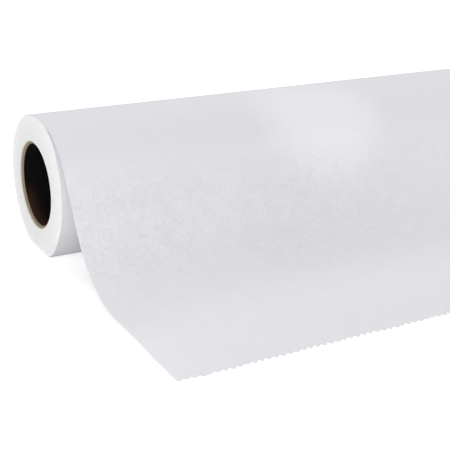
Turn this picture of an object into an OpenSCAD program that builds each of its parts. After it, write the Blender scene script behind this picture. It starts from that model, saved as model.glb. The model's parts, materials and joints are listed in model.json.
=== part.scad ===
// Roll of examination table paper on its card core. It lies on its side, pressed flat a little where it rests,
// and its free end leaves the top of the roll, falls forward and lies out flat to a torn, toothed edge.
// X runs along the roll, -Y points to the free end, +Z is up, and the origin is on the core's axis, half way along.

/* [Core] */
// Inner diameter of the core tube
core_bore_d = 38.1; // [25:0.1:48]
// Wall of the core tube
core_wall = 1.3; // [1:0.1:4]
// How far each end of the core sits back from the paper's edge
core_inset = 0.6; // [0:0.1:3]
// How much wider the core's cut mouth is than its bore, on the radius
mouth_flare = 0.5; // [0.1:0.1:0.9]
// Depth of the core's cut mouth along the axis
mouth_depth = 1.2; // [0.4:0.1:4]

/* [Wound paper] */
// Width of the paper, which is the length of the roll
paper_w = 533.4; // [300:0.1:700]
// Diameter of the wound paper
roll_d = 66; // [54:0.5:90]
// How far the core sits behind the middle of the wound paper, which is wound looser in front
core_shift = 2.4; // [0:0.1:4]
// Gap between the core and the first turn, on the radius
wind_gap = 0.1; // [0.05:0.05:0.3]
// How far the roll's own weight has pressed its underside up
flat_sink = 2.5; // [1:0.1:5]
// Radius of the shoulders beside the flat
flat_round = 10; // [6:0.5:16]

/* [Turns on the ends] */
// Distance between the turn gaps that show on each end
turn_pitch = 1.1; // [0.8:0.1:3]
// Width of a turn gap
turn_gap = 0.3; // [0.2:0.05:0.6]
// Depth of the deepest turn gap
turn_depth = 0.45; // [0.2:0.05:1]
// Share of that depth that the shallowest turn gap lacks
turn_uneven = 0.5; // [0:0.05:0.8]
// Plain band left inside the first and outside the last turn gap
turn_margin = 1; // [0.6:0.1:3]

/* [Loose sheet] */
// Thickness of the loose sheet
sheet_t = 0.25; // [0.2:0.05:0.5]
// Angle past the top at which the sheet leaves the roll
lift_angle = 0; // [0:1:12]
// Straight stretch before the sheet starts to bend down
lift_run = 6.6; // [6:0.2:14]
// How much wider the sheet's bend is than the roll, on the radius
bend_slack = 0; // [0:1:12]
// Steepest slope of the falling sheet
fall_angle = 59; // [45:1:65]
// Radius of the curve that brings the sheet to the surface
toe_r = 48; // [30:1:54]
// Length that lies flat, up to the tips of the teeth
lay_run = 52; // [20:1:200]

/* [Torn end] */
// Distance between the teeth of the torn end
tooth_pitch = 3.175; // [2:0.005:8]
// Height of a tooth
tooth_h = 2.3; // [0.6:0.1:3]
// How far a tooth's root lies from the middle between two tips, which makes the teeth hook one way
tooth_hook = 0.5; // [0:0.1:0.9]
// Largest difference in reach between the torn teeth
tooth_uneven = 0.9; // [0:0.1:1.5]

/* [Hidden] */
$fn = 96;
arc_step = 5;
cut_over = 1;
least_gap = 0.025;
paper_white = [0.94, 0.94, 0.95];
board_tan = [0.62, 0.52, 0.38];

core_r = core_bore_d / 2 + core_wall;
core_len = paper_w - 2 * core_inset;
seat_r = core_r + wind_gap;
roll_r = roll_d / 2;
roll_centre = [-core_shift, 0];
floor_z = flat_sink - roll_r;

// The flat underside and its shoulders, whose arcs meet the roll's circle and the flat without a corner.
shoulder_z = floor_z + flat_round;
shoulder_y = sqrt(pow(roll_r - flat_round, 2) - pow(shoulder_z, 2));
shoulder_angle = atan2(-shoulder_z, shoulder_y);

// The sheet's path: a bend about the roll that starts lift_run late, a straight fall, and the toe.
bend_r = roll_r + bend_slack;
bend_centre = roll_centre - lift_run * along(lift_angle) - bend_slack * outward(lift_angle);
toe_z = floor_z + sheet_t + toe_r;
fall_top = bend_centre + bend_r * outward(fall_angle);
fall_len = (fall_top[1] - toe_z + toe_r * cos(fall_angle)) / sin(fall_angle);
toe_centre = fall_top - fall_len * [cos(fall_angle), sin(fall_angle)] + toe_r * outward(fall_angle);
tip_y = toe_centre[0] - lay_run;
tear_margin = tooth_uneven + 2 * cut_over;

// Steps, in degrees, of the waves that make the torn teeth and the depths of the turn gaps uneven.
tooth_waves = [97, 41];
root_lag = 7;
gap_wave = 131;

// Directions at a slope of the sheet: out of its upper face, and back up along it.
function outward(slope) = [-sin(slope), cos(slope)];
function along(slope) = [cos(slope), sin(slope)];

function arc(centre, r, from, to) =
    let (n = max(1, ceil(abs(to - from) / arc_step)))
    [for (i = [0:n]) centre + r * [cos(from + (to - from) * i / n), sin(from + (to - from) * i / n)]];

// One face of the loose sheet from its bend to its raw end, at a depth below its upper face.
function sheet_face(depth) = concat(
    arc(bend_centre, bend_r - depth, 90 + lift_angle, 90 + fall_angle),
    arc(toe_centre, toe_r + depth, fall_angle - 90, -90),
    [[tip_y - tear_margin, floor_z + sheet_t - depth]]
);

// The roll's outline from the root of the gap under the sheet, round the front, the flat and the back, to the top.
function roll_face(root) = concat(
    arc(roll_centre, roll_r, root, 180 + shoulder_angle),
    arc(roll_centre + [-shoulder_y, shoulder_z], flat_round, 180 + shoulder_angle, 270),
    arc(roll_centre + [shoulder_y, shoulder_z], flat_round, 270, 360 - shoulder_angle),
    arc(roll_centre, roll_r, 360 - shoulder_angle, 450 + lift_angle)
);

function reverse(list) = [for (i = [len(list) - 1:-1:0]) list[i]];

// The two faces part where the sheet's lower face comes clear of the roll.
function clear_of_roll(points) = [for (p = points) if (norm(p - roll_centre) > roll_r + least_gap) p];

function uneven(i) = tooth_uneven / 2 * (sin(i * tooth_waves[0]) + sin(i * tooth_waves[1])) / 2;

module along_roll(length) {
    rotate([90, 0, 90])
        linear_extrude(height = length, center = true)
            children();
}

module round_the_axis() {
    rotate([0, 90, 0])
        rotate_extrude()
            children();
}

module web_section() {
    lower = clear_of_roll(sheet_face(sheet_t));
    first = lower[0] - roll_centre;
    root = atan2(first[1], first[0]) + arc_step / 4;
    polygon(concat(roll_face(root), sheet_face(0), reverse(lower)));
}

module core_seat() {
    rotate([0, 90, 0])
        cylinder(h = paper_w + 2 * cut_over, r = seat_r, center = true);
}

// Gaps between turns, open at the roll's end, each to its own depth. The first lies about the core, and the others
// move over to the middle of the wound paper.
module turn_gaps() {
    first_r = seat_r + turn_margin;
    last_r = -floor_z - turn_margin - turn_gap;
    count = floor((last_r - first_r) / turn_pitch);
    for (i = [0:count])
        let (
            depth = turn_depth * (1 - turn_uneven * (1 - sin(i * gap_wave)) / 2),
            share = i * turn_pitch / (last_r - first_r)
        )
            translate([0, share * roll_centre[0], 0])
                round_the_axis()
                    translate([first_r + i * turn_pitch, paper_w / 2 - depth])
                        square([turn_gap, depth + cut_over]);
}

// What the cutter's teeth tore away beyond the sheet's end.
module torn_away() {
    count = ceil(paper_w / tooth_pitch / 2) + 1;
    teeth = [
        for (i = [-count:count])
            each [
                [i * tooth_pitch, tip_y + uneven(i)],
                [(i + (1 + tooth_hook) / 2) * tooth_pitch, tip_y + tooth_h + uneven(i + root_lag)]
            ]
    ];
    far_y = tip_y - 2 * tear_margin;
    translate([0, 0, floor_z - cut_over])
        linear_extrude(height = sheet_t + 2 * cut_over)
            polygon(concat(teeth, [[(count + 1) * tooth_pitch, far_y], [-count * tooth_pitch, far_y]]));
}

module core_tube() {
    bore_r = core_bore_d / 2;
    half = core_len / 2;
    color(board_tan)
        round_the_axis()
            polygon([
                [bore_r, mouth_depth - half],
                [bore_r + mouth_flare, -half],
                [core_r, -half],
                [core_r, half],
                [bore_r + mouth_flare, half],
                [bore_r, half - mouth_depth]
            ]);
}

module paper_roll() {
    color(paper_white)
        difference() {
            along_roll(paper_w)
                web_section();
            core_seat();
            turn_gaps();
            mirror([1, 0, 0])
                turn_gaps();
            torn_away();
        }
}

core_tube();
paper_roll();
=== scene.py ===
import json
import math

import bmesh
import bpy
from bpy.props import FloatProperty, FloatVectorProperty, IntProperty, PointerProperty
from mathutils import Matrix, Vector, noise


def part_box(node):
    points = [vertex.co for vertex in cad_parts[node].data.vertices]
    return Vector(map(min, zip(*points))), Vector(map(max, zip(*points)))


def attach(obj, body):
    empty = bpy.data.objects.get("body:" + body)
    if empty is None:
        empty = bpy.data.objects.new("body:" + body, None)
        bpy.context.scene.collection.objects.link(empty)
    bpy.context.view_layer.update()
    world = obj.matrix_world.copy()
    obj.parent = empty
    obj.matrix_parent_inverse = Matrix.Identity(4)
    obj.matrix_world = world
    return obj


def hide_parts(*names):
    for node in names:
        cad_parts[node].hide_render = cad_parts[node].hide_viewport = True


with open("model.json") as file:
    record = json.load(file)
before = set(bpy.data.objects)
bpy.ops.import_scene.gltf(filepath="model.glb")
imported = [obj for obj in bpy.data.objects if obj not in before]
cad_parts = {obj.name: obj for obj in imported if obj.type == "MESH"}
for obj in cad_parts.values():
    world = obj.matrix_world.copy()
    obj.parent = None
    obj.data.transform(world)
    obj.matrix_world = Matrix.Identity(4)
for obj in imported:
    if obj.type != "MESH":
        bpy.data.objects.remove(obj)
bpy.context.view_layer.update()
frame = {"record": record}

bl_info = {
    "name": "Exam Table Paper Roll",
    "version": (1, 0, 0),
    "blender": (4, 5, 0),
    "location": "3D View > Sidebar > Paper Roll",
    "description": "Builds a roll of exam table paper on its card core, with its free end laid out",
    "category": "Object",
}

# Sizes that the frame gives, in metres. X runs along the roll, and the core's axis is at y = z = 0.
PAPER_LOW, PAPER_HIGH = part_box("paper_roll")
CORE_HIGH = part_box("core_tube")[1]
HALF_WIDTH = PAPER_HIGH.x
ROLL_R = PAPER_HIGH.z
ROLL_Y = PAPER_HIGH.y - ROLL_R
FLOOR_Z = PAPER_LOW.z
TIP_Y = PAPER_LOW.y
CORE_R = CORE_HIGH.z
CORE_HALF = CORE_HIGH.x
BORE_R = next(m["dims"]["r_mm"] for m in frame["record"]["mounts"] if m["name"] == "core_bore") / 1000

MM = 0.001
FULL_TURN = 2 * math.pi
# Vertices of a skin that lie closer than this, in metres, are one.
WELD = 1e-7
# Puts a point that lies just on a seam, or between two teeth, on the same side each time.
NUDGE = 1e-6

# Where the soft turns stop following the lifting sheet, and where their sag starts and ends,
# in degrees past the roll's top.
SLACK_ENDS = (34, 60)
SAG_STARTS = (55, 95)
SAG_ENDS = (120, 165)
# Air between the soft turns and the underside of the lifting sheet.
SHEET_GAP = 0.04 * MM
# How fast the turns' softness and their flat underside fade from the outermost turn (share 1) inwards to the
# core (share 0), and the least share for which a flat is worked out.
SOFT_FADE = 4
PRESS_FADE = 1.5
LEAST_SHARE = 1e-3

# Runs of the sheet over which it comes free of the roll, and over which it settles at its torn end.
FREE_RUN = 45 * MM
END_RUN = 45 * MM
# Where the sheet lies down and where it starts to float, from the line where its path meets the surface.
LAID = (-32 * MM, -2 * MM)
FLOATING = (-30 * MM, 5 * MM)
# Height of the small ripples where the sheet lies, and the raggedness of its side edges.
RIPPLE = 0.3 * MM
RAGGED_SIDE = 0.06 * MM
# Teeth that the tear has blunted: how rare they are, from 0 to 1, and the share of their height that is left.
BLUNT_OVER = 0.42
BLUNT_SHARE = 0.4

# Side of the square picture, in pixels.
PHOTO_SIDE = 450
BLACK = (0.0, 0.0, 0.0)
WHITE = (1.0, 1.0, 1.0)
# The floor's radius, how far it lies under the roll, its colour, and the glow that it shows to the camera.
FLOOR_R = 0.9
FLOOR_DROP = 0.05 * MM
FLOOR_WHITE = (0.9, 0.9, 0.9)
FLOOR_LIFT = (0.5, 0.5, 0.5)


class RollSizes(bpy.types.PropertyGroup):
    """Sizes of the paper, its turns, its loose sheet and its core."""

    web_t: FloatProperty(
        name="Web thickness",
        description="Thickness of the outer turn and the loose sheet as drawn",
        default=0.1 * MM, min=0.03 * MM, max=0.25 * MM, unit="LENGTH", precision=5,
    )
    turn_gap: FloatProperty(
        name="Gap under the outer turn",
        description="Air between the outer turn and the turns under it",
        default=0.015 * MM, min=0.0, max=0.2 * MM, unit="LENGTH", precision=5,
    )
    seat_gap: FloatProperty(
        name="Gap round the core",
        description="Air between the core and the first turn",
        default=0.05 * MM, min=0.0, max=0.1 * MM, unit="LENGTH", precision=5,
    )
    flat_round: FloatProperty(
        name="Shoulder radius",
        description="Radius beside the flat that the roll rests on",
        default=10 * MM, min=6 * MM, max=16 * MM, unit="LENGTH",
    )
    band: FloatProperty(
        name="Turn band",
        description="Width of one visible band of turns on the roll's ends",
        default=0.5 * MM, min=0.3 * MM, max=2 * MM, unit="LENGTH",
    )
    band_relief: FloatProperty(
        name="Turn relief",
        description="How far the bands of turns stand behind the furthest one",
        default=0.35 * MM, min=0.0, max=1 * MM, unit="LENGTH",
    )
    lift_run: FloatProperty(
        name="Lift run",
        description="Straight stretch of the sheet as it leaves the roll's top",
        default=6.6 * MM, min=6 * MM, max=14 * MM, unit="LENGTH",
    )
    fall_angle: FloatProperty(
        name="Fall angle",
        description="Steepest slope of the falling sheet",
        default=math.radians(59), min=math.radians(45), max=math.radians(65), subtype="ANGLE",
    )
    toe_r: FloatProperty(
        name="Toe radius",
        description="Radius of the curve that brings the sheet to the surface",
        default=48 * MM, min=30 * MM, max=54 * MM, unit="LENGTH",
    )
    teeth: IntProperty(
        name="Teeth",
        description="Number of teeth along the torn end, two to a column of the sheet",
        default=168, min=60, max=240, step=2,
    )
    tooth_h: FloatProperty(
        name="Tooth height",
        description="Height of a torn tooth",
        default=2.4 * MM, min=0.6 * MM, max=3 * MM, unit="LENGTH",
    )
    tooth_uneven: FloatProperty(
        name="Uneven tear",
        description="Largest difference in reach between the torn teeth",
        default=1.0 * MM, min=0.0, max=1.5 * MM, unit="LENGTH",
    )
    buckle: FloatProperty(
        name="Buckles",
        description="Height of the soft buckles in the loose sheet",
        default=0.7 * MM, min=0.0, max=2 * MM, unit="LENGTH",
    )
    toe_lift: FloatProperty(
        name="Toe lift",
        description="How far the sheet floats over the surface just past its toe",
        default=1.0 * MM, min=0.0, max=2 * MM, unit="LENGTH",
    )
    slack: FloatProperty(
        name="Slack",
        description="How far the soft outer turns stand out under the lifting sheet",
        default=1.8 * MM, min=0.0, max=2.5 * MM, unit="LENGTH",
    )
    sag: FloatProperty(
        name="Sag",
        description="How far the roll's lower front is drawn in",
        default=2.0 * MM, min=0.0, max=2.5 * MM, unit="LENGTH",
    )
    rim_round: FloatProperty(
        name="Rim rounding",
        description="How far the outermost turns stand back at the roll's ends",
        default=0.12 * MM, min=0.0, max=2 * MM, unit="LENGTH",
    )
    mouth_flare: FloatProperty(
        name="Mouth flare",
        description="How much wider the core's cut mouth is than its bore, on the radius",
        default=0.5 * MM, min=0.1 * MM, max=0.9 * MM, unit="LENGTH",
    )
    mouth_depth: FloatProperty(
        name="Mouth depth",
        description="Depth of the core's cut mouth along the axis",
        default=1.2 * MM, min=0.4 * MM, max=4 * MM, unit="LENGTH",
    )
    ply: FloatProperty(
        name="Ply",
        description="Thickness of one ply of the core's board",
        default=0.26 * MM, min=0.15 * MM, max=0.6 * MM, unit="LENGTH",
    )


class RollFinishes(bpy.types.PropertyGroup):
    """Colours of the paper and the core."""

    paper: FloatVectorProperty(
        name="Paper", description="Colour of the loose sheet and the outer turn",
        subtype="COLOR", size=3, min=0.0, max=1.0, default=(0.785, 0.785, 0.820),
    )
    paper_edge: FloatVectorProperty(
        name="Paper edges", description="Colour of the wound turns' cut edges",
        subtype="COLOR", size=3, min=0.0, max=1.0, default=(0.880, 0.877, 0.883),
    )
    board: FloatVectorProperty(
        name="Board", description="Colour of the core's board where it is cut",
        subtype="COLOR", size=3, min=0.0, max=1.0, default=(0.35, 0.285, 0.20),
    )
    # The liner's near black is partly the inner ply's own dark colour and partly painted shade from deep in
    # the bore.
    liner: FloatVectorProperty(
        name="Liner", description="Colour of the core's inner ply",
        subtype="COLOR", size=3, min=0.0, max=1.0, default=(0.003, 0.003, 0.003),
    )
    # Painted light: this colour stands in for the light that falls into the core's mouths, low in each, on
    # the near black inner ply.
    painted_mouth_light: FloatVectorProperty(
        name="Light-painted liner",
        description="Colour of the inner ply where it is scuffed, low in the core's mouths",
        subtype="COLOR", size=3, min=0.0, max=1.0, default=(0.036, 0.017, 0.011),
    )


class RollStage(bpy.types.PropertyGroup):
    """Camera and light."""

    camera_at: FloatVectorProperty(
        name="Camera", description="Place of the camera from the middle of the roll's left end",
        subtype="XYZ", unit="LENGTH", size=3, default=(-0.1532, -0.4374, 0.1570),
    )
    yaw: FloatProperty(
        name="Yaw", description="Turn of the view from +Y towards +X",
        default=math.radians(30.089), subtype="ANGLE",
    )
    pitch: FloatProperty(
        name="Pitch", description="How far the view looks down",
        default=math.radians(20.825), subtype="ANGLE",
    )
    roll: FloatProperty(
        name="Roll", description="Turn of the picture about the line of sight",
        default=math.radians(1.617), subtype="ANGLE",
    )
    focal: FloatProperty(
        name="Focal length", description="Focal length in photo pixels",
        default=1051.6, min=100.0,
    )
    world_light: FloatProperty(
        name="World light", description="Strength of the even light from all round", default=0.335, min=0.0,
    )
    side_lamp: FloatProperty(
        name="Side lamp", description="Power of the lamp in front at the left", default=9.4, min=0.0,
    )
    back_lamp: FloatProperty(
        name="Back lamp", description="Power of the lamp behind and above", default=11.5, min=0.0,
    )
    end_lamp: FloatProperty(
        name="End lamp", description="Power of the lamp low at the left", default=2.45, min=0.0,
    )
    far_lamp: FloatProperty(
        name="Far lamp", description="Power of the lamp low at the right", default=2.0, min=0.0,
    )
    right_lamp: FloatProperty(
        name="Right lamp", description="Power of the small lamp in front at the right",
        default=1.0, min=0.0,
    )
    under_lamp: FloatProperty(
        name="Under lamp", description="Power of the small lamp that shines in under the sheet",
        default=0.035, min=0.0,
    )
    pool_lamp: FloatProperty(
        name="Pool lamp", description="Power of the spot that lights one part of the roll's top",
        default=4.4, min=0.0,
    )


# Each soft lamp's place and width, in metres. They all face one point in the left part of the roll. The spot
# makes a soft pool of light on the roll's top.
LAMPS = {
    "side_lamp": ((-0.9, -1.2, 0.5), 1.0),
    "back_lamp": ((-0.1, 0.9, 1.2), 1.0),
    "end_lamp": ((-1.3, 0.1, 0.12), 0.6),
    "far_lamp": ((1.3, 0.1, 0.12), 0.6),
    "right_lamp": ((0.45, -0.35, 0.15), 0.2),
    "under_lamp": ((-0.35, -0.165, -0.016), 0.02),
}
LAMP_AIM = Vector((-0.18, -0.05, 0.0))
POOL_AT = Vector((0.120, -0.776, 0.622))
POOL_AIM = Vector((-0.130, -0.026, 0.022))
POOL_SPREAD = math.radians(4.8)


class Rings:
    """A skin about the X axis that is extruded one ring after another and joined up at its end."""

    def __init__(self, segments, radius):
        self.bm = bmesh.new()
        turn = Matrix.Rotation(math.pi / 2, 4, "Y")
        bmesh.ops.create_circle(self.bm, cap_ends=False, segments=segments, radius=radius, matrix=turn)
        self.angles = {v: math.atan2(v.co.z, v.co.y) for v in self.bm.verts}
        self.loop = list(self.bm.edges)
        self.first = list(self.bm.edges)

    def place(self, where):
        """Puts each vertex of the newest ring where it belongs, by its angle from +Y towards +Z."""
        for v, angle in self.angles.items():
            v.co = where(angle)

    def add(self, where):
        """Extrudes the newest ring and places the ring that this makes."""
        made = bmesh.ops.extrude_edge_only(self.bm, edges=self.loop)["geom"]
        before = self.angles
        self.angles = {}
        for v in (g for g in made if isinstance(g, bmesh.types.BMVert)):
            source = next(e.other_vert(v) for e in v.link_edges if e.other_vert(v) in before)
            self.angles[v] = before[source]
        edges = (g for g in made if isinstance(g, bmesh.types.BMEdge))
        self.loop = [e for e in edges if set(e.verts) <= self.angles.keys()]
        self.place(where)

    def close(self):
        """Joins the last ring to the first."""
        bmesh.ops.bridge_loops(self.bm, edges=self.first + self.loop)
        return self.bm


def rise(value, low, high):
    """0 below low, 1 above high, and smooth between."""
    share = min(max((value - low) / (high - low), 0.0), 1.0)
    return share * share * (3 - 2 * share)


def soft_noise(*place):
    """Smooth noise from -1 to 1 at a place. Bare numbers among a place's three only pick a stretch of it."""
    return noise.noise(Vector(place))


def soft_shape(sizes, past_top):
    """How far the soft roll stands out, by the angle past its top towards the front."""
    past_top = past_top % FULL_TURN
    lift = sizes.lift_run
    # The room up to the sheet, which runs straight off the top and then bends down about a centre that lies
    # further forward than the roll's.
    if past_top < math.atan(lift / ROLL_R):
        up_to_sheet = ROLL_R / math.cos(past_top) - ROLL_R
    else:
        beside = lift * math.cos(past_top)
        up_to_sheet = lift * math.sin(past_top) + math.sqrt(ROLL_R ** 2 - beside ** 2) - ROLL_R
    degrees = math.degrees(past_top)
    out = min(max(up_to_sheet - SHEET_GAP, 0.0), sizes.slack) * (1 - rise(degrees, *SLACK_ENDS))
    drawn_in = rise(degrees, *SAG_STARTS) * (1 - rise(degrees, *SAG_ENDS))
    return out - sizes.sag * drawn_in


def on_turn(x, radius, angle, middle_y=0.0):
    """The point at an angle from +Y towards +Z on a circle about the roll's axis or beside it."""
    return Vector((x, middle_y + radius * math.cos(angle), radius * math.sin(angle)))


def make_object(bm, name, material):
    """Makes a bmesh into an object of the scene."""
    mesh = bpy.data.meshes.new(name)
    bm.to_mesh(mesh)
    bm.free()
    mesh.materials.append(material)
    made = bpy.data.objects.new(name, mesh)
    bpy.context.scene.collection.objects.link(made)
    return made


def shade_skin(bm, sharp_angle=math.radians(32)):
    """Points a closed skin's faces outwards and shades them smooth between its sharp edges."""
    bmesh.ops.remove_doubles(bm, verts=bm.verts, dist=WELD)
    bmesh.ops.recalc_face_normals(bm, faces=bm.faces)
    for face in bm.faces:
        face.smooth = True
    for edge in bm.edges:
        edge.smooth = len(edge.link_faces) < 2 or edge.calc_face_angle() < sharp_angle


class Wire:
    """A value in a material's nodes, which takes part in sums as a number does."""

    def __init__(self, finish, socket):
        self.finish = finish
        self.socket = socket

    def _with(self, operation, *values):
        return self.finish.node("ShaderNodeMath", {"operation": operation}, dict(enumerate(values)))

    def __add__(self, other):
        return self._with("ADD", self, other)

    def __radd__(self, other):
        return self._with("ADD", other, self)

    def __sub__(self, other):
        return self._with("SUBTRACT", self, other)

    def __rsub__(self, other):
        return self._with("SUBTRACT", other, self)

    def __mul__(self, other):
        return self._with("MULTIPLY", self, other)

    def __rmul__(self, other):
        return self._with("MULTIPLY", other, self)

    def __truediv__(self, other):
        return self._with("DIVIDE", self, other)

    def __pow__(self, other):
        return self._with("POWER", self, other)

    def wave(self):
        return self._with("SINE", self)

    def fraction(self):
        return self._with("FRACT", self)

    def ramp(self, low, high):
        """0 below low, 1 above high, and smooth between."""
        return self.finish.node(
            "ShaderNodeMapRange", {"interpolation_type": "SMOOTHSTEP"},
            {"Value": self, "From Min": low, "From Max": high},
        )


class Finish:
    """The nodes of one material or of the world, with the shader node that they feed."""

    def __init__(self, owner, surface):
        owner.use_nodes = True
        self.owner = owner
        self.tree = owner.node_tree
        self.surface = self.tree.nodes[surface]

    @classmethod
    def material(cls, name):
        return cls(bpy.data.materials.new(name), "Principled BSDF")

    def put(self, socket, value):
        """Joins a socket to a wire, or sets it to a plain value."""
        if isinstance(value, Wire):
            self.tree.links.new(value.socket, socket)
        else:
            socket.default_value = value

    def node(self, kind, settings=None, inputs=None, output=0):
        """Adds a node, sets it up, joins its inputs and gives one of its outputs."""
        made = self.tree.nodes.new(kind)
        for name, value in (settings or {}).items():
            setattr(made, name, value)
        for name, value in (inputs or {}).items():
            self.put(made.inputs[name], value)
        return Wire(self, made.outputs[output])

    def noise(self, vector, scale, detail=2.0, roughness=0.5, distortion=0.0):
        return self.node("ShaderNodeTexNoise", {}, {
            "Vector": vector, "Scale": scale, "Detail": detail,
            "Roughness": roughness, "Distortion": distortion,
        })

    def mix(self, factor, first, second):
        """A colour between two, by a factor that varies."""
        first, second = (c if isinstance(c, Wire) else (*c, 1.0) for c in (first, second))
        return self.node("ShaderNodeMix", {"data_type": "RGBA"}, {"Factor": factor, 6: first, 7: second}, 2)

    def seen_ray(self):
        """1 for what the camera sees, straight, in gloss or through glass, and 0 for other light."""
        rays = [self.node("ShaderNodeLightPath", output=name)
                for name in ("Is Camera Ray", "Is Glossy Ray", "Is Transmission Ray")]
        either = rays[0] + rays[1]
        return self.node("ShaderNodeMath", {"operation": "ADD", "use_clamp": True}, {0: either, 1: rays[2]})

    def bump(self, height, distance):
        """Gives the shader its relief, from a height that varies and what a height of 1 measures."""
        self.set(Normal=self.node("ShaderNodeBump", {}, {
            "Height": height, "Distance": distance, "Strength": 1.0,
        }))

    def set(self, **sockets):
        """Sets or joins the shader's own sockets, named with _ for a space."""
        for name, value in sockets.items():
            self.put(self.surface.inputs[name.replace("_", " ")], value)

    def object_place(self):
        """The place on the object, and its x, y and z."""
        place = self.node("ShaderNodeTexCoord", output=3)
        apart = [self.node("ShaderNodeSeparateXYZ", {}, {0: place}, k) for k in range(3)]
        return place, apart


def scaled(colour, factor):
    return tuple(c * factor for c in colour)


def paper_sheet_finish(look, fall_from, fall_to):
    """Thin matt paper, faintly cloudy, with a fine crinkle that is strongest where the sheet falls, and
    painted shade there: the crinkled stretch is coloured a little darker, most towards the left, in place of
    its wrinkles' shade.
    """
    finish = Finish.material("paper_sheet")
    web = finish.node("ShaderNodeUVMap", {"uv_map": "web"})
    across, run = (finish.node("ShaderNodeSeparateXYZ", {}, {0: web}, k) for k in range(2))
    along = finish.node("ShaderNodeMapping", {}, {"Vector": web, "Scale": (1.0, 0.75, 1.0)})
    shaded_crinkle_stretch = run.ramp(fall_from + 35 * MM, fall_from + 62 * MM)
    shaded_crinkle_stretch = shaded_crinkle_stretch * (1 - run.ramp(fall_to - 42 * MM, fall_to))
    patch = finish.noise(web, 11, 2.0).ramp(0.15, 0.6) * (1 - across.ramp(0.05, 0.24) * 0.85)
    crinkle_and_shade = shaded_crinkle_stretch * patch
    mottle = finish.noise(along, 130, 6.0, 0.68) - 0.5
    fine = finish.noise(along, 560, 3.0, 0.8) - 0.5
    crinkle = finish.noise(along, 330, 4.0, 0.62, 0.8)
    cockle = finish.noise(web, 45, 2.0)
    # Painted shade: the crinkled stretch's offset is lower, so it is coloured darker as if shaded by its
    # wrinkles.
    body = mottle * (0.3 + crinkle_and_shade * 0.6) + fine * (0.3 + crinkle_and_shade * 1.4) + (0.58 - crinkle_and_shade * 0.3)
    finish.set(
        Base_Color=finish.mix(body, scaled(look.paper, 0.90), scaled(look.paper, 1.07)),
        Roughness=0.72, Specular_IOR_Level=0.28,
    )
    finish.bump(crinkle * (0.3 + crinkle_and_shade * 0.6) + cockle * 1.2, 0.35 * MM)
    return finish.owner


def paper_edge_finish(look):
    """The cut edges of the wound turns: near white, lighter further out, with fine rings and fibres."""
    finish = Finish.material("paper_edges")
    place, (x, y, z) = finish.object_place()
    radius = (y * y + z * z) ** 0.5
    rings = finish.node("ShaderNodeCombineXYZ", {}, {0: radius * 2600, 1: y * 16, 2: z * 16})
    ring = finish.noise(rings, 1.0, 2.0)
    fibre = finish.noise(place, 900, 2.0)
    outer = radius.ramp(CORE_R, ROLL_R)
    mask = outer * 0.7 + ring.ramp(0.35, 0.75) * 0.2 + fibre.ramp(0.3, 0.7) * 0.1
    finish.set(
        Base_Color=finish.mix(mask, scaled(look.paper_edge, 0.91), scaled(look.paper_edge, 1.04)),
        Roughness=0.8, Specular_IOR_Level=0.2,
    )
    finish.bump(ring * 0.6 + fibre * 0.4, 0.12 * MM)
    return finish.owner


def board_finish(look, ply):
    """Spiral-wound board, brown where it is cut and near black on its seamed inner ply. The liner's near
    black is partly painted shade of the bore, and a browner patch low in each mouth is painted light.
    """
    finish = Finish.material("core_board")
    place, (x, y, z) = finish.object_place()
    radius = (y * y + z * z) ** 0.5
    turn = finish.node("ShaderNodeMath", {"operation": "ARCTAN2"}, {0: z, 1: y}) / FULL_TURN
    seam_pitch = 110 * MM
    seam_share = 0.006
    seam = (x / seam_pitch + turn).fraction()
    groove = seam.ramp(0.0, seam_share) * (1 - seam.ramp(1 - seam_share, 1.0))
    drawn = finish.node("ShaderNodeMapping", {}, {"Vector": place, "Scale": (0.5, 1.0, 1.0)})
    fibre = finish.noise(drawn, 1400, 3.0)
    blotch = finish.noise(place, 220, 2.0)
    plies = ((radius - BORE_R) * (FULL_TURN / ply)).wave() * 0.5 + 0.5
    grain = fibre.ramp(0.3, 0.7) * 0.6 + plies * 0.4
    cut = finish.mix(grain, scaled(look.board, 0.78), scaled(look.board, 1.15))
    depth = CORE_HALF - finish.node("ShaderNodeMath", {"operation": "ABSOLUTE"}, {0: x})
    # Painted light: low in each mouth, near the cut end, the liner is coloured browner where light falls into
    # the bore.
    low_in_bore = (z / -BORE_R).ramp(0.1, 0.8)
    painted_lit = (1 - depth.ramp(1.5 * MM, 8 * MM)) * low_in_bore
    lined = finish.mix(painted_lit * (0.6 + blotch * 0.8), look.liner, look.painted_mouth_light)
    bare = (radius - BORE_R).ramp(0.04 * MM, 0.14 * MM)
    finish.set(Base_Color=finish.mix(bare, lined, cut), Roughness=0.9, Specular_IOR_Level=0.08)
    finish.bump(fibre * 0.5 + groove * 2.0, 0.08 * MM)
    return finish.owner


def white_floor_finish():
    """A white surface that takes the object's shadow and is white to the camera where no shadow falls."""
    finish = Finish.material("white_floor")
    finish.set(Base_Color=(*FLOOR_WHITE, 1.0), Roughness=1.0, Specular_IOR_Level=0.0)
    finish.set(Emission_Color=finish.mix(finish.seen_ray(), BLACK, FLOOR_LIFT), Emission_Strength=1.0)
    return finish.owner


class WebPath:
    """The line that the paper follows across the roll, in y and z, from stretches of length and curvature."""

    def __init__(self, start, heading, stretches):
        self.knots = []
        travelled, point = 0.0, Vector(start)
        for length, curvature in stretches:
            self.knots.append((travelled, point, heading, curvature))
            point, heading = self.step(point, heading, curvature, length)
            travelled += length
        self.length = travelled

    @staticmethod
    def step(point, heading, curvature, run):
        """The point and the heading after a run along one stretch."""
        end = heading + curvature * run
        if curvature == 0.0:
            return point + run * Vector((math.cos(heading), math.sin(heading))), end
        turn = Vector((math.sin(end) - math.sin(heading), math.cos(heading) - math.cos(end)))
        return point + turn / curvature, end

    def at(self, travelled):
        """The point and the heading there."""
        start, point, heading, curvature = next(
            (k for k in reversed(self.knots) if k[0] <= travelled), self.knots[0]
        )
        return self.step(point, heading, curvature, travelled - start)


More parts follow.
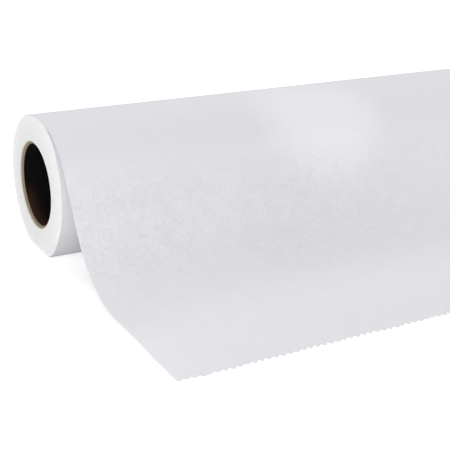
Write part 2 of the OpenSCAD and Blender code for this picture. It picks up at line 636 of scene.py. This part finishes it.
class PressedTurn:
    """One turn with its flat underside and the arcs beside it, less pressed the further in it lies."""

    def __init__(self, sizes, radius, inner_radius):
        share = (radius - inner_radius) / (ROLL_R - inner_radius)
        self.radius = radius
        self.sizes = sizes
        self.softness = share ** SOFT_FADE
        self.middle_y = ROLL_Y * share
        self.wind = (sizes.web_t + sizes.turn_gap) * share
        self.round = sizes.flat_round
        # The flat lies this far below the turn's middle, and the shoulders' arcs run from it to the circle.
        self.level = radius - (ROLL_R + FLOOR_Z) * max(share, LEAST_SHARE) ** PRESS_FADE
        self.centre_z = self.round - self.level
        self.centre_y = math.sqrt((radius - self.round) ** 2 - self.centre_z ** 2)
        self.angle = math.atan2(-self.centre_z, self.centre_y)

    def at(self, x, angle):
        """The place on the turn, which winds outwards from the roll's top by the web's thickness."""
        past_top = angle - math.pi / 2
        wound = (past_top / FULL_TURN + NUDGE) % 1.0
        radius = self.reach(angle) + self.wind * wound + self.softness * soft_shape(self.sizes, past_top)
        return on_turn(x, radius, angle, self.middle_y)

    def reach(self, angle):
        """The turn's distance from its middle in a direction."""
        down = abs(math.remainder(angle + math.pi / 2, FULL_TURN))
        if down >= math.pi / 2 - self.angle:
            return self.radius
        if math.tan(down) <= self.centre_y / self.level:
            return self.level / math.cos(down)
        along = self.centre_y * math.sin(down) - self.centre_z * math.cos(down)
        return along + math.sqrt(self.round ** 2 - self.centre_y ** 2 - self.centre_z ** 2 + along ** 2)


def web_path(sizes):
    """The outer turn and the loose sheet, with where the sheet leaves the roll and meets the surface."""
    outer = PressedTurn(sizes, ROLL_R, CORE_R)
    side = (ROLL_R * (math.pi / 2 + outer.angle), 1 / ROLL_R)
    shoulder = (sizes.flat_round * (math.pi / 2 - outer.angle), 1 / sizes.flat_round)
    turn = [side, shoulder, (2 * outer.centre_y, 0.0), shoulder, side]
    fall = sizes.fall_angle
    drop = ROLL_R - FLOOR_Z - sizes.web_t - (ROLL_R + sizes.toe_r) * (1 - math.cos(fall))
    fall_run = drop / math.sin(fall)
    touch_y = ROLL_Y - sizes.lift_run - fall_run * math.cos(fall) - (ROLL_R + sizes.toe_r) * math.sin(fall)
    lay_run = touch_y - TIP_Y
    sheet = [
        (sizes.lift_run, 0.0), (ROLL_R * fall, 1 / ROLL_R), (fall_run, 0.0),
        (sizes.toe_r * fall, -1 / sizes.toe_r), (lay_run, 0.0),
    ]
    path = WebPath((ROLL_Y, ROLL_R), math.pi, turn + sheet)
    return path, sum(length for length, _ in turn), path.length - lay_run


class Drape:
    """How the web lies: tight round the roll, softly buckled where it falls, nearly flat past its toe."""

    def __init__(self, sizes, path, turn_run, touch_run):
        self.sizes = sizes
        self.path = path
        self.turn_run = turn_run
        self.touch_run = touch_run

    def torn(self, x):
        """How much of the web's length the cutter's teeth and the tear take off at x."""
        pitch = 2 * HALF_WIDTH / self.sizes.teeth
        tooth = (x + HALF_WIDTH) / pitch + NUDGE
        index, share = math.floor(tooth), tooth % 1.0
        tip = 0.3 + 0.1 * soft_noise(index * 7.7, 0.3, 0.1)
        away = abs(share - tip) / (tip if share < tip else 1 - tip)
        height = 0.95 + 0.4 * soft_noise(index * 3.1, 8.8, 0.2)
        blunt = BLUNT_SHARE if soft_noise(index * 5.3, 4.1, 6.6) > BLUNT_OVER else 1.0
        slow = soft_noise(index * 0.42, 2.2, 0.7)
        fast = soft_noise(index * 1.9, 5.2, 0.7)
        missing = self.sizes.tooth_uneven * min(max(0.3 + 0.55 * slow + 0.35 * fast, 0.0), 1.0)
        return self.sizes.tooth_h * away * height * blunt + missing

    def offset(self, x, run, heading):
        """How far the web stands out from its path."""
        sizes = self.sizes
        loose = run - self.turn_run
        if loose <= 0:
            wound_in = (sizes.web_t + sizes.turn_gap) * loose / self.turn_run
            return wound_in + soft_shape(sizes, heading - math.pi)
        share = loose / (self.path.length - self.turn_run)
        past_touch = run - self.touch_run
        free = rise(loose, 0.0, FREE_RUN)
        laid = rise(past_touch, *LAID)
        wave = soft_noise(x * 5.5, share * 2.2, 1.7) + 0.35 * soft_noise(x * 17, share * 5.0, 9.1)
        before_end = rise(self.path.length - run, 0.0, END_RUN)
        hump = sizes.toe_lift * rise(past_touch, *FLOATING) * before_end * (0.85 + 0.6 * wave)
        ripple = RIPPLE * abs(soft_noise(x * 24, share * 6, 3.3))
        return free * (1 - laid) * sizes.buckle * wave + laid * (hump + ripple)

    def at(self, x, run):
        """Where the web's point at x and run comes to lie, with its side edges a little ragged."""
        point, heading = self.path.at(run)
        point = point + self.offset(x, run, heading) * Vector((math.sin(heading), -math.cos(heading)))
        if abs(x) > HALF_WIDTH - 0.1 * MM:
            side = math.copysign(1.0, x)
            x -= side * RAGGED_SIDE * abs(soft_noise(side * 2.0, run * 60, 0.5))
        wound = 1 - rise(run - self.turn_run, 0.0, 40 * MM)
        return Vector((x * (1 - wound * self.sizes.rim_round / HALF_WIDTH), *point))


class PAPERROLL_OT_core(bpy.types.Operator):
    """Build the spiral-wound card core with its cut, flared mouths"""

    bl_idname = "paper_roll.build_core"
    bl_label = "Card core"

    def execute(self, context):
        sizes = context.scene.roll_sizes
        mouth_r = BORE_R + sizes.mouth_flare
        mouth_x = CORE_HALF - sizes.mouth_depth
        wall = CORE_R - mouth_r
        edge = 0.12 * MM
        rough = 0.09 * MM

        def cut_face(side, share):
            """One ring of an end's cut face, by its share of the way through the wall."""
            def where(angle):
                ragged = rough * soft_noise(share * 9, 3 * math.cos(angle), 3 * math.sin(angle) + side)
                return on_turn(side * (CORE_HALF - edge * 0.5 + ragged), mouth_r + wall * share, angle)
            return where

        shares = (0.0, 0.2, 0.4, 0.6, 0.8)
        rings = Rings(160, BORE_R)
        rings.place(lambda angle: on_turn(-mouth_x, BORE_R, angle))
        for share in shares:
            rings.add(cut_face(-1, share))
        for side in (-1, 1):
            rings.add(lambda angle: on_turn(side * (CORE_HALF - edge), CORE_R, angle))
        for share in reversed(shares):
            rings.add(cut_face(1, share))
        rings.add(lambda angle: on_turn(mouth_x, BORE_R, angle))
        skin = rings.close()
        shade_skin(skin)
        piece = make_object(skin, "core_board", board_finish(context.scene.roll_finishes, sizes.ply))
        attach(piece, "root")
        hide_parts("core_tube")
        return {"FINISHED"}


class PAPERROLL_OT_turns(bpy.types.Operator):
    """Build the wound turns with the fine bands of their edges on both ends"""

    bl_idname = "paper_roll.build_turns"
    bl_label = "Wound turns"

    def execute(self, context):
        sizes = context.scene.roll_sizes
        inner = CORE_R + sizes.seat_gap
        outer = ROLL_R - 2 * (sizes.web_t + sizes.turn_gap)
        last = 2 * round((outer - inner) / sizes.band)
        level_steps = 4
        rim_steps = 9

        def on_end(side, step):
            """A crest or a groove of a band on one end: even steps are grooves."""
            turn = PressedTurn(sizes, inner + (outer - inner) * step / last, inner)
            depth = 0.5 + 0.5 * soft_noise(step * 3.7, side * 5.3, 0.4)
            groove = 0.22 * (step % 2 == 0)
            outermost = rise(step, last - level_steps, last)
            rim = sizes.rim_round * max(0.0, 1 - (last - step) / rim_steps) ** 2

            def where(angle):
                round_turn = (1.3 * math.cos(angle), 1.3 * math.sin(angle) + 4 * side)
                sway = 0.5 * soft_noise(step * 0.35, *round_turn)
                inset = 0.1 + (1 - outermost) * (0.45 * depth + groove + 0.5 * abs(sway))
                return turn.at(side * (HALF_WIDTH - rim - sizes.band_relief * inset), angle)
            return where

        outermost_turn = PressedTurn(sizes, outer, inner)
        rings = Rings(224, inner)
        rings.place(on_end(-1, 0))
        for step in range(1, last + 1):
            rings.add(on_end(-1, step))
        lengths = 14
        for k in range(1, lengths):
            x = HALF_WIDTH * (2 * k / lengths - 1)
            rings.add(lambda angle: outermost_turn.at(x, angle))
        for step in range(last, -1, -1):
            rings.add(on_end(1, step))
        skin = rings.close()
        shade_skin(skin, math.radians(60))
        piece = make_object(skin, "wound_turns", paper_edge_finish(context.scene.roll_finishes))
        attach(piece, "root")
        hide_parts("paper_roll")
        return {"FINISHED"}


class PAPERROLL_OT_sheet(bpy.types.Operator):
    """Build the outer turn and the loose sheet as one web, from its flat cut"""

    bl_idname = "paper_roll.build_sheet"
    bl_label = "Outer turn and loose sheet"

    # Length of a row of faces, cuts in each column's end edge, and how near the end a vertex counts as on it.
    row = 3 * MM
    tooth_cuts = 11
    end_margin = 0.01 * MM

    def execute(self, context):
        sizes = context.scene.roll_sizes
        path, turn_run, touch_run = web_path(sizes)
        rows = round(path.length / self.row)
        bm = self.flat_web(sizes.teeth // 2, rows, path.length)
        falling = [v for v in bm.verts if turn_run + FREE_RUN < v.co.y < touch_run]
        self.hang(bm, Drape(sizes, path, turn_run, touch_run), 1.5 * path.length / rows)
        for _ in range(3):
            bmesh.ops.smooth_vert(bm, verts=falling, factor=0.5, use_axis_y=True, use_axis_z=True)
        for face in bm.faces:
            face.smooth = True
        for edge in bm.edges:
            edge.smooth = not edge.is_boundary
        finish = paper_sheet_finish(context.scene.roll_finishes, turn_run, touch_run)
        piece = make_object(bm, "loose_sheet", finish)
        thickness = piece.modifiers.new("thickness", "SOLIDIFY")
        thickness.thickness = sizes.web_t
        thickness.offset = -1.0
        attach(piece, "root")
        return {"FINISHED"}

    def flat_web(self, columns, rows, length):
        """The web's flat cut, its run along Y, with its end divided for the teeth and a UV map in metres."""
        bm = bmesh.new()
        flat_cut = Matrix.Diagonal((HALF_WIDTH, length / 2, 1.0, 1.0))
        flat_cut = Matrix.Translation((0.0, length / 2, 0.0)) @ flat_cut
        bmesh.ops.create_grid(bm, x_segments=columns, y_segments=rows, size=1.0, matrix=flat_cut)
        end_edges = [e for e in bm.edges if all(v.co.y > length - self.end_margin for v in e.verts)]
        bmesh.ops.subdivide_edges(bm, edges=end_edges, cuts=self.tooth_cuts, use_grid_fill=False)
        web = bm.loops.layers.uv.new("web")
        for face in bm.faces:
            for corner in face.loops:
                corner[web].uv = (corner.vert.co.x + HALF_WIDTH, corner.vert.co.y)
        return bm

    def hang(self, bm, drape, end_rows):
        """Puts the web's vertices where they hang, with its end torn and the row before it drawn back."""
        length = drape.path.length
        for v in bm.verts:
            x, run = v.co.x, v.co.y
            if run > length - self.end_margin:
                run -= drape.torn(x)
            elif run > length - end_rows:
                run -= self.row / 2
            v.co = drape.at(x, run)


class PAPERROLL_OT_stage(bpy.types.Operator):
    """Set up the white floor, the soft light and the camera"""

    bl_idname = "paper_roll.build_stage"
    bl_label = "Stage"

    def execute(self, context):
        stage = context.scene.roll_stage
        self.floor()
        self.world(context.scene, stage)
        for name, (place, width) in LAMPS.items():
            soft = self.lamp("AREA", name, getattr(stage, name), Vector(place), LAMP_AIM)
            soft.shape = "DISK"
            soft.size = width
        pool = self.lamp("SPOT", "pool_lamp", stage.pool_lamp, POOL_AT, POOL_AIM)
        pool.spot_size = POOL_SPREAD
        pool.spot_blend = 1.0
        self.camera(context.scene, stage)
        context.scene.view_settings.view_transform = "Standard"
        return {"FINISHED"}

    def floor(self):
        """A round white floor, just under the roll."""
        bm = bmesh.new()
        lower = Matrix.Translation((0.0, 0.0, FLOOR_Z - FLOOR_DROP))
        bmesh.ops.create_circle(bm, cap_ends=True, segments=128, radius=FLOOR_R, matrix=lower)
        make_object(bm, "floor", white_floor_finish())

    def world(self, scene, stage):
        """Even light from all round, which the camera sees as white."""
        world = bpy.data.worlds.new("studio")
        scene.world = world
        light = Finish(world, "Background")
        light.set(Color=light.mix(light.seen_ray(), scaled(WHITE, stage.world_light), WHITE), Strength=1.0)

    def lamp(self, kind, name, power, place, aim):
        """A lamp at a place that shines at another, given as its light."""
        light = bpy.data.lights.new(name, kind)
        light.energy = power
        lamp = bpy.data.objects.new(name, light)
        bpy.context.scene.collection.objects.link(lamp)
        lamp.location = place
        lamp.rotation_euler = (aim - place).to_track_quat("-Z", "Y").to_euler()
        return light

    def camera(self, scene, stage):
        """The camera, from its place, its three turns and its focal length."""
        data = bpy.data.cameras.new("camera")
        data.sensor_width = 36.0
        data.lens = stage.focal / PHOTO_SIDE * data.sensor_width
        data.clip_start = 0.01
        camera = bpy.data.objects.new("camera", data)
        scene.collection.objects.link(camera)
        yaw, pitch, roll = stage.yaw, stage.pitch, stage.roll
        forward = Vector((
            math.sin(yaw) * math.cos(pitch), math.cos(yaw) * math.cos(pitch), -math.sin(pitch),
        ))
        right = Vector((math.cos(yaw), -math.sin(yaw), 0.0))
        up = right.cross(forward)
        turned_right = right * math.cos(roll) + up * math.sin(roll)
        turned_up = up * math.cos(roll) - right * math.sin(roll)
        facing = Matrix((turned_right, turned_up, -forward)).transposed().to_4x4()
        place = Vector(stage.camera_at) + Vector((-HALF_WIDTH, ROLL_Y, 0.0))
        camera.matrix_world = Matrix.Translation(place) @ facing
        scene.camera = camera


class PAPERROLL_PT_panel(bpy.types.Panel):
    """Sizes, finishes and light, with buttons for the pieces and the stage"""

    bl_label = "Paper Roll"
    bl_idname = "PAPERROLL_PT_panel"
    bl_space_type = "VIEW_3D"
    bl_region_type = "UI"
    bl_category = "Paper Roll"

    def draw(self, context):
        scene = context.scene
        for group in (scene.roll_sizes, scene.roll_finishes, scene.roll_stage):
            box = self.layout.box()
            for name in type(group).__annotations__:
                box.prop(group, name)
        for operator in OPERATORS:
            self.layout.operator(operator.bl_idname)


OPERATORS = (PAPERROLL_OT_core, PAPERROLL_OT_turns, PAPERROLL_OT_sheet, PAPERROLL_OT_stage)
CLASSES = (RollSizes, RollFinishes, RollStage, *OPERATORS, PAPERROLL_PT_panel)


def register():
    for cls in CLASSES:
        bpy.utils.register_class(cls)
    bpy.types.Scene.roll_sizes = PointerProperty(type=RollSizes)
    bpy.types.Scene.roll_finishes = PointerProperty(type=RollFinishes)
    bpy.types.Scene.roll_stage = PointerProperty(type=RollStage)


def unregister():
    del bpy.types.Scene.roll_stage
    del bpy.types.Scene.roll_finishes
    del bpy.types.Scene.roll_sizes
    for cls in reversed(CLASSES):
        bpy.utils.unregister_class(cls)


def main():
    register()
    bpy.ops.paper_roll.build_core()
    bpy.ops.paper_roll.build_turns()
    bpy.ops.paper_roll.build_sheet()
    bpy.ops.paper_roll.build_stage()


if __name__ == "__main__":
    main()
